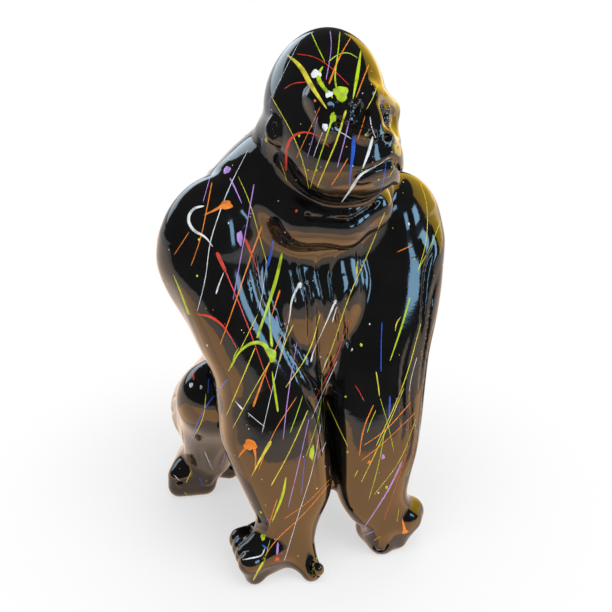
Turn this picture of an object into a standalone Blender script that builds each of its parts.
# Desk figurine: a cast resin silverback gorilla sitting back on its haunches.
# The form is sculpted as one rounded solid in millimetres, figure facing -Y,
# then skinned, thinned to a light mesh and set on the floor in metres.
import bpy
import bmesh
import numpy as np

# Overall size and mesh budget
HEIGHT = 300.0           # floor to crown, mm
GRID = 2.0               # sampling step of the skin, mm
TRIANGLES = 11600        # budget of the finished skin
SOLE = 0.45              # anything lower than this lies flat on the floor, mm
MM = 0.001

# Places the body is built from, in mm; AXIS is the x of the body's midline
AXIS = -4.0
HEAD = (6, -10, 248)
HEAD_TURN = (-22, 15, 21)    # chin up, tilt, turn to its left, degrees
FACE_TURN = (-22, 18, 11)    # the same for the brow, eyes and nose
KNEE = (48, 20, 78)
ANKLE = (46, 44, 24)
HIP = (34, 62, 46)
CHEST = (2, 25, 150)
CHEST_SIZE = (50, 42, 70)
SHOULDERS = (2, 30, 197)
SHOULDERS_SIZE = (44, 32, 34)
LOIN = (2, 44, 90)
LOIN_SIZE = (42, 42, 50)
RUMP = (0, 72, 46)
RUMP_SIZE = (42, 38, 44)
BREAST = (14, -9.5, 160)
BREAST_SIZE = (20, 18.5, 30)
BELLY = (0, -9, 126)
BELLY_SIZE = (27, 25, 45)
BREASTBONE = [(0, -38, 152), (0, -36, 112)]
FLANK = (38, 26, 165)
FLANK_SIZE = (20, 24, 42)
NAPE = (5, 3, 232)
NECK_ROOT = (2, 14, 200)
NAPE_SIZE = 30
NECK_SIZE = 38
RIGHT_SLOPE = [(0, 14, 214), (-45, 7, 197)]
RIGHT_SLOPE_SIZES = (22, 20)
LEFT_SLOPE = [(8, 10, 208), (44, 4, 180)]
LEFT_SLOPE_SIZES = (24, 18)
THROAT = [(-36, 16, 216), (-26, -6, 209), (-9, -25, 200), (10, -31, 198), (28, -24, 203),
          (40, -4, 208), (40, 18, 208)]
THROAT_SIZES = [3, 8, 12, 12, 12, 9, 3]

# Arms as rows from the wrist up: height, x outwards, y, half width, half depth
RIGHT_ARM = [(20, 30.5, -51.2, 15.5, 11.2), (32, 28, -49.2, 17.5, 12.8), (46, 26.5, -46, 23.5, 16),
             (62, 28.5, -41.5, 27, 19.5), (80, 31, -35.5, 29.5, 22.5), (95, 31, -30.5, 29.3, 23.5),
             (113, 32.5, -23.5, 28, 24.5), (135, 41, -14.5, 26.5, 26.5), (160, 50, -5.5, 25.5, 26.5),
             (176, 53.5, 1, 26, 25), (190, 53, 5, 23, 18)]
LEFT_ARM = [(20, 28, -52.2, 16, 11.2), (32, 24, -50.2, 19, 12.8), (46, 24.5, -46, 22.5, 16),
            (62, 27, -41.5, 25.5, 19.5), (80, 29.5, -35.5, 27.5, 22.5), (95, 31.5, -30.5, 29, 23.5),
            (113, 36.5, -23.5, 29, 24.5), (135, 45.5, -14.5, 28.5, 26.5), (158, 53.5, -6, 27, 26.5),
            (174, 57, 0, 26.5, 25), (188, 56, 4, 23, 18)]
RIGHT_RISE = 38          # half height of the shoulder caps
LEFT_RISE = 32
RIGHT_HAND = (37.5, -52, 0)
LEFT_HAND = (39.5, -51.5, 0)
RIGHT_THUMB = (-17, -13, 5)
LEFT_THUMB = (-12.5, -5, 5)
RIGHT_REACH = 17.0       # how far the curled fingers stand out from the hand's middle
LEFT_REACH = 1.0
FINGER_PITCH = 7.4
SQUARE = 2.5             # how squarish the arms' section is; 2 is an oval
EYE = (11.2, -30, -1)    # in the face's own frame
EYE_RADIUS = 4.4


def turned(pitch, roll, yaw):
    """Rotation about X, then Y, then Z, in degrees."""
    a, b, c = np.radians([pitch, roll, yaw])
    rx = np.array([[1, 0, 0], [0, np.cos(a), -np.sin(a)], [0, np.sin(a), np.cos(a)]])
    ry = np.array([[np.cos(b), 0, np.sin(b)], [0, 1, 0], [-np.sin(b), 0, np.cos(b)]])
    rz = np.array([[np.cos(c), -np.sin(c), 0], [np.sin(c), np.cos(c), 0], [0, 0, 1]])
    return (rz @ ry @ rx).astype(np.float32)


def egg(p, centre, radii, turn=None):
    """Signed distance to an ellipsoid, close near its surface."""
    q = p - np.asarray(centre, np.float32)
    if turn is not None:
        q = q @ turned(*turn)
    r = np.asarray(radii, np.float32)
    k0 = np.sqrt(((q / r) ** 2).sum(-1))
    k1 = np.sqrt(((q / (r * r)) ** 2).sum(-1)) + 1e-9
    return k0 * (k0 - 1) / k1


def bone(p, start, end, r0, r1):
    """Signed distance to a rounded, tapered rod."""
    a = np.asarray(start, np.float32)
    ab = np.asarray(end, np.float32) - a
    t = np.clip(((p - a) @ ab) / (ab @ ab), 0, 1)
    q = p - a - t[:, None] * ab
    return np.sqrt((q * q).sum(-1)) - (r0 + (r1 - r0) * t)


def join(a, b, blend):
    """Union with a soft fillet."""
    h = np.maximum(blend - np.abs(a - b), 0)
    return np.minimum(a, b) - h * h / (4 * blend)


def carve(a, b, blend):
    """Cut b out of a with a soft edge."""
    return -join(-a, b, blend)


def chain(p, points, radii, blend):
    """Run of bones through several points."""
    d = bone(p, points[0], points[1], radii[0], radii[1])
    for i in range(1, len(points) - 1):
        d = join(d, bone(p, points[i], points[i + 1], radii[i], radii[i + 1]), blend)
    return d


def curve(knots, values, count=60):
    """Smooth curve through the pairs, as a dense table."""
    k = np.asarray(knots, float)
    v = np.asarray(values, float)
    slope = np.gradient(v, k)
    t = np.linspace(k[0], k[-1], count)
    i = np.clip(np.searchsorted(k, t) - 1, 0, len(k) - 2)
    h = k[i + 1] - k[i]
    u = (t - k[i]) / h
    first = (1 + 2 * u) * (1 - u) ** 2 * v[i] + u * (1 - u) ** 2 * h * slope[i]
    second = u * u * (3 - 2 * u) * v[i + 1] + u * u * (u - 1) * h * slope[i + 1]
    return t, first + second


def limb(q, rows):
    """Upright limb of oval section given by rows, lowest first."""
    rows = np.asarray(rows, float)
    z = q[:, 2]
    x = np.interp(z, *curve(rows[:, 0], rows[:, 1])).astype(np.float32)
    y = np.interp(z, *curve(rows[:, 0], rows[:, 2])).astype(np.float32)
    a = np.interp(z, *curve(rows[:, 0], rows[:, 3])).astype(np.float32)
    b = np.interp(z, *curve(rows[:, 0], rows[:, 4])).astype(np.float32)
    u = q[:, 0] - x
    v = q[:, 1] - y
    s = np.abs(u / a) + 1e-6
    t = np.abs(v / b) + 1e-6
    k0 = (s ** SQUARE + t ** SQUARE) ** (1 / SQUARE)
    k1 = np.sqrt((s ** (SQUARE - 1) / a) ** 2 + (t ** (SQUARE - 1) / b) ** 2) * k0 ** (1 - SQUARE)
    side = (k0 - 1) / k1
    ends = np.maximum(z - rows[-1, 0], rows[0, 0] - z)
    return carve(side, -ends, 6) * 0.9


def sided(p, side):
    """Body frame of one side: +X runs outwards from the midline."""
    q = p.copy()
    q[:, 0] = side * (q[:, 0] - AXIS)
    return q


def mirrored(p, axis=0.0):
    """Both sides folded onto +X."""
    q = p.copy()
    q[:, 0] = np.abs(q[:, 0] - axis)
    return q


def torso(q, m):
    d = egg(q, CHEST, CHEST_SIZE, (10, -3, 0))
    d = join(d, egg(q, SHOULDERS, SHOULDERS_SIZE, (20, -6, 0)), 24)
    d = join(d, egg(q, LOIN, LOIN_SIZE), 28)
    d = join(d, egg(q, RUMP, RUMP_SIZE), 28)
    d = join(d, egg(m, BREAST, BREAST_SIZE, (-36, 0, 0)), 11)
    d = join(d, egg(q, BELLY, BELLY_SIZE, (-6, 0, 0)), 12)
    d = carve(d, bone(m, *BREASTBONE, 1.5, 3), 8)
    return join(d, egg(m, FLANK, FLANK_SIZE, (14, 8, 0)), 20)


def neck(q):
    """Nape, the slopes to both shoulders and the roll under the jaw."""
    d = bone(q, NAPE, NECK_ROOT, NAPE_SIZE, NECK_SIZE)
    d = join(d, bone(q, *RIGHT_SLOPE, *RIGHT_SLOPE_SIZES), 16)
    d = join(d, bone(q, *LEFT_SLOPE, *LEFT_SLOPE_SIZES), 16)
    return join(d, chain(q, THROAT, THROAT_SIZES, 8), 8)


def arm(q, rows, rise):
    """Arm with its shoulder cap; rise is the cap's half height."""
    top = rows[-2]
    d = egg(q, (top[1] - 0.5, top[2] + 3, top[0] + 3), (28, 22, rise))
    d = join(d, egg(q, (top[1] - 4, top[2] + 1.5, top[0] - 3), (24, 27, rise + 6)), 5)
    return join(d, limb(q, rows), 6)


def hand(q, place, reach, thumb):
    """Hand standing on its curled fingers and the tip of its thumb."""
    c = np.array(place, float)
    d = bone(q, c + (-8, 9, 32), c + (-2, -1, 17), 12, 10)
    d = join(d, bone(q, c + (-13, -4, 13), c + (8, 2, 18), 7.5, 9), 7)
    fingers = None
    for i in range(4):
        root = c + (5 - 0.6 * i, -5 + FINGER_PITCH * i, 17)
        knuckle = c + (reach - 0.8 * i, -6 + 1.03 * FINGER_PITCH * i, 15)
        tip = c + (reach - 3 - 0.8 * i, -4.5 + FINGER_PITCH * i, 5.5)
        f = join(bone(q, root, knuckle, 7, 6.4), bone(q, knuckle, tip, 6.6, 6.0), 2)
        fingers = f if fingers is None else join(fingers, f, 1.6)
    d = join(d, fingers, 4)
    d = join(d, egg(q, c + (reach - 11, 6, 9), (13, 14, 10)), 5)
    return join(d, bone(q, c + (-13, -3, 14), c + thumb, 7, 6), 7)


def leg(m):
    knee = np.array(KNEE, float)
    d = bone(m, HIP, knee + (-1, 0, -1), 29, 18)
    d = join(d, egg(m, knee + (1, -1, 2), (20, 18, 22)), 8)
    return join(d, bone(m, knee + (0, 2, -4), ANKLE, 19, 15), 10)


def foot(m):
    d = bone(m, (50, 62, 11), (57, 46, 13), 12, 13)
    for i in range(4):
        toe = bone(m, (50 + 5.0 * i, 44, 13), (50.5 + 5.2 * i, 39 + 1.2 * i, 7), 7.5, 7)
        d = join(d, toe, 3)
    return join(d, bone(m, (44, 54, 11), (31, 50, 6.5), 8, 6.5), 6)


def head(p):
    q = (p - np.array(HEAD, np.float32)) @ turned(*HEAD_TURN)
    m = mirrored(q)
    d = egg(q, (0, -2, 7), (29, 30.5, 33))
    d = join(d, egg(q, (-3, 4, 6), (28, 27, 31)), 8)
    d = join(d, egg(q, (0, -2, 23), (18, 23, 23.5)), 18)
    d = join(d, egg(q, (0, -8, -19), (29, 27, 26)), 14)
    d = join(d, egg(q, (0, -26, -24), (20, 17, 16)), 10)
    d = carve(d, bone(m, (0, -43.5, -26), (19, -31, -34), 1.4, 1.0), 3)
    f = (p - np.array(HEAD, np.float32)) @ turned(*FACE_TURN)
    n = mirrored(f)
    d = join(d, bone(n, (0, -33, 9.5), (22.5, -23, 6.5), 5.5, 5.5), 7)
    d = join(d, bone(n, (23, -21.5, 5.5), (20, -27, -10), 4.5, 5), 5)
    d = join(d, egg(f, (0, -32, -7), (6.5, 12, 14), (-20, 0, 0)), 6)
    d = join(d, egg(n, (6.2, -39, -12.5), (6.2, 5.5, 5)), 4)
    d = carve(d, egg(n, (11.2, -38, -1), (6.8, 6, 4.5)), 4)
    d = join(d, egg(n, EYE, (EYE_RADIUS, EYE_RADIUS, EYE_RADIUS)), 1.5)
    d = carve(d, egg(n, (5, -45, -12.8), (2.4, 3.6, 2)), 2)
    ear = egg(m, (30, 8.5, -5), (4.4, 5.6, 7.8), (0, 0, -20))
    ear = carve(ear, egg(m, (34.3, 5.7, -5), (3, 3.4, 5)), 2)
    return join(d, ear, 3)


def gorilla(points):
    """Signed distance to the whole figure, mm."""
    p = np.asarray(points, np.float32)
    right = sided(p, -1)
    left = sided(p, 1)
    m = mirrored(p, AXIS)
    d = join(torso(left, m), neck(left), 14)
    d = join(d, leg(m), 12)
    d = join(d, foot(m), 6)
    a = join(arm(right, RIGHT_ARM, RIGHT_RISE), hand(right, RIGHT_HAND, RIGHT_REACH, RIGHT_THUMB), 8)
    b = join(arm(left, LEFT_ARM, LEFT_RISE), hand(left, LEFT_HAND, LEFT_REACH, LEFT_THUMB), 8)
    d = join(d, join(a, b, 3), 8)
    # the forearms are cast together where they meet
    d = join(d, bone(left, (0, -18, 90), (0, -40, 46), 9, 6), 4)
    d = join(d, head(p), 6)
    return np.maximum(d, -p[:, 2])


def sampled(form, low, high, step, coarse=4, band=2.2):
    """Form sampled on a grid: exact near the surface, rough elsewhere."""
    low = np.array(low, float)
    n = np.ceil((np.array(high) - low) / (step * coarse)).astype(int) + 1
    axes = [low[i] + np.arange(n[i]) * step * coarse for i in range(3)]
    grid = np.stack(np.meshgrid(*axes, indexing="ij"), -1).reshape(-1, 3)
    v = form(grid).reshape(n)
    for axis in range(3):
        i = np.arange((n[axis] - 1) * coarse + 1)
        lo = np.minimum(i // coarse, v.shape[axis] - 2)
        shape = [1, 1, 1]
        shape[axis] = -1
        t = ((i - lo * coarse) / coarse).astype(np.float32).reshape(shape)
        v = np.take(v, lo, axis) * (1 - t) + np.take(v, lo + 1, axis) * t
    near = np.abs(v) < band * step * coarse
    v[near] = form(low + np.argwhere(near) * step)
    return v


def unpinched(values, depth=0.1):
    """Fill spots where the form would touch itself along an edge or at a corner."""
    v = values.copy()
    for _ in range(12):
        inside = v < 0
        fill = np.zeros(v.shape, bool)
        for u, w in ((0, 1), (0, 2), (1, 2)):
            spots = []
            for du, dw in ((0, 0), (1, 1), (1, 0), (0, 1)):
                cut = [slice(None)] * 3
                cut[u] = slice(du, v.shape[u] - 1 + du)
                cut[w] = slice(dw, v.shape[w] - 1 + dw)
                spots.append(tuple(cut))
            a, d, b, c = (inside[cut] for cut in spots)
            bad = (a == d) & (b == c) & (a != b)
            for cut in spots:
                fill[cut] |= bad
        for du, dv in ((0, 0), (0, 1), (1, 0), (1, 1)):
            near = (slice(0, -1), slice(du, v.shape[1] - 1 + du), slice(dv, v.shape[2] - 1 + dv))
            far = (slice(1, None), slice(1 - du, v.shape[1] - du), slice(1 - dv, v.shape[2] - dv))
            count = np.zeros(np.array(v.shape) - 1, np.int8)
            for i in (0, 1):
                for j in (0, 1):
                    for k in (0, 1):
                        count += inside[i:v.shape[0] - 1 + i, j:v.shape[1] - 1 + j, k:v.shape[2] - 1 + k]
            bad = (count == 6) & ~inside[near] & ~inside[far]
            bad |= (count == 2) & inside[near] & inside[far]
            for i in (0, 1):
                for j in (0, 1):
                    for k in (0, 1):
                        fill[i:v.shape[0] - 1 + i, j:v.shape[1] - 1 + j, k:v.shape[2] - 1 + k] |= bad
        fill &= ~inside
        if not fill.any():
            break
        v[fill] = -depth
    return v


def skinned(values, low, step):
    """Quads around the zero level of a sampled form, and their points."""
    inside = values < 0
    n = np.array(values.shape)
    corners = np.zeros(n - 1, np.int8)
    for dx in (0, 1):
        for dy in (0, 1):
            for dz in (0, 1):
                corners += inside[dx:n[0] - 1 + dx, dy:n[1] - 1 + dy, dz:n[2] - 1 + dz]
    active = (corners > 0) & (corners < 8)
    cells = np.argwhere(active)
    number = np.full(n - 1, -1, np.int64)
    number[active] = np.arange(len(cells))
    total = np.zeros((len(cells), 3))
    count = np.zeros(len(cells))
    for axis in range(3):
        u, w = [k for k in range(3) if k != axis]
        for i in (0, 1):
            for j in (0, 1):
                a = cells.copy()
                a[:, u] += i
                a[:, w] += j
                b = a.copy()
                b[:, axis] += 1
                va = values[tuple(a.T)]
                vb = values[tuple(b.T)]
                cross = (va < 0) != (vb < 0)
                t = np.where(cross, va / np.where(cross, va - vb, 1), 0)
                spot = a.astype(float)
                spot[:, axis] += t
                total[cross] += spot[cross]
                count[cross] += 1
    points = total / count[:, None] * step + np.array(low)
    quads = []
    for axis in range(3):
        u, w = [k for k in range(3) if k != axis]
        first = [slice(None)] * 3
        second = [slice(None)] * 3
        first[axis] = slice(0, -1)
        second[axis] = slice(1, None)
        e = np.argwhere(inside[tuple(first)] != inside[tuple(second)])
        rows = []
        for du, dw in ((-1, -1), (0, -1), (0, 0), (-1, 0)):
            k = e.copy()
            k[:, u] += du
            k[:, w] += dw
            rows.append(number[tuple(k.T)])
        quad = np.stack(rows, 1)
        outward = inside[tuple(e.T)]
        if axis == 1:
            outward = ~outward
        quad[~outward] = quad[~outward][:, ::-1]
        quads.append(quad)
    return points, np.concatenate(quads)


def settled(form, points, times=2, h=0.3):
    """Points moved onto the form's own surface."""
    p = points.astype(np.float32)
    corners = np.array([[1, -1, -1], [-1, -1, 1], [-1, 1, -1], [1, 1, 1]], np.float32)
    for _ in range(times):
        slope = sum(k * form(p + k * h)[:, None] for k in corners) / (4 * h)
        size = np.maximum((slope * slope).sum(-1), 0.2)
        p = p - slope * (form(p) / size)[:, None]
    return p.astype(float)


def mesh_object(name, points, faces, material):
    mesh = bpy.data.meshes.new(name)
    mesh.from_pydata(points.tolist(), [], faces.tolist())
    mesh.materials.append(material)
    obj = bpy.data.objects.new(name, mesh)
    bpy.context.scene.collection.objects.link(obj)
    return obj


def lacquer(name, colour, roughness):
    material = bpy.data.materials.new(name)
    material.use_nodes = True
    shader = material.node_tree.nodes["Principled BSDF"]
    shader.inputs["Base Color"].default_value = (*colour, 1)
    shader.inputs["Roughness"].default_value = roughness
    return material


for old in list(bpy.data.objects):
    bpy.data.objects.remove(old, do_unlink=True)

black = lacquer("black_gloss", (0.012, 0.012, 0.014), 0.08)

LOW = (-100, -90, -6)    # the box that is sampled; it only has to hold the whole form
HIGH = (100, 130, 312)
points, quads = skinned(unpinched(sampled(gorilla, LOW, HIGH, GRID)), LOW, GRID)
points = settled(gorilla, points)

figure = mesh_object("gorilla_figure", points, quads, black)
thin = figure.modifiers.new("thin", "DECIMATE")
thin.ratio = TRIANGLES / (2 * len(quads))
thin.use_collapse_triangulate = True
bpy.context.view_layer.update()
light = bpy.data.meshes.new_from_object(figure.evaluated_get(bpy.context.evaluated_depsgraph_get()))
figure.modifiers.clear()
figure.data = light

# flat soles, then the figure centred over the origin at its real height
bm = bmesh.new()
bm.from_mesh(light)
for vertex in bm.verts:
    if vertex.co.z < SOLE:
        vertex.co.z = 0
xs = [v.co.x for v in bm.verts]
ys = [v.co.y for v in bm.verts]
zs = [v.co.z for v in bm.verts]
scale = HEIGHT / max(zs) * MM
middle = ((min(xs) + max(xs)) / 2, (min(ys) + max(ys)) / 2)
for vertex in bm.verts:
    x = (vertex.co.x - middle[0]) * scale
    y = (vertex.co.y - middle[1]) * scale
    vertex.co = (x, y, vertex.co.z * scale)
bmesh.ops.dissolve_degenerate(bm, dist=1e-6, edges=bm.edges)
bmesh.ops.triangulate(bm, faces=bm.faces)
bmesh.ops.recalc_face_normals(bm, faces=bm.faces)
bm.to_mesh(light)
bm.free()
for polygon in light.polygons:
    polygon.use_smooth = True
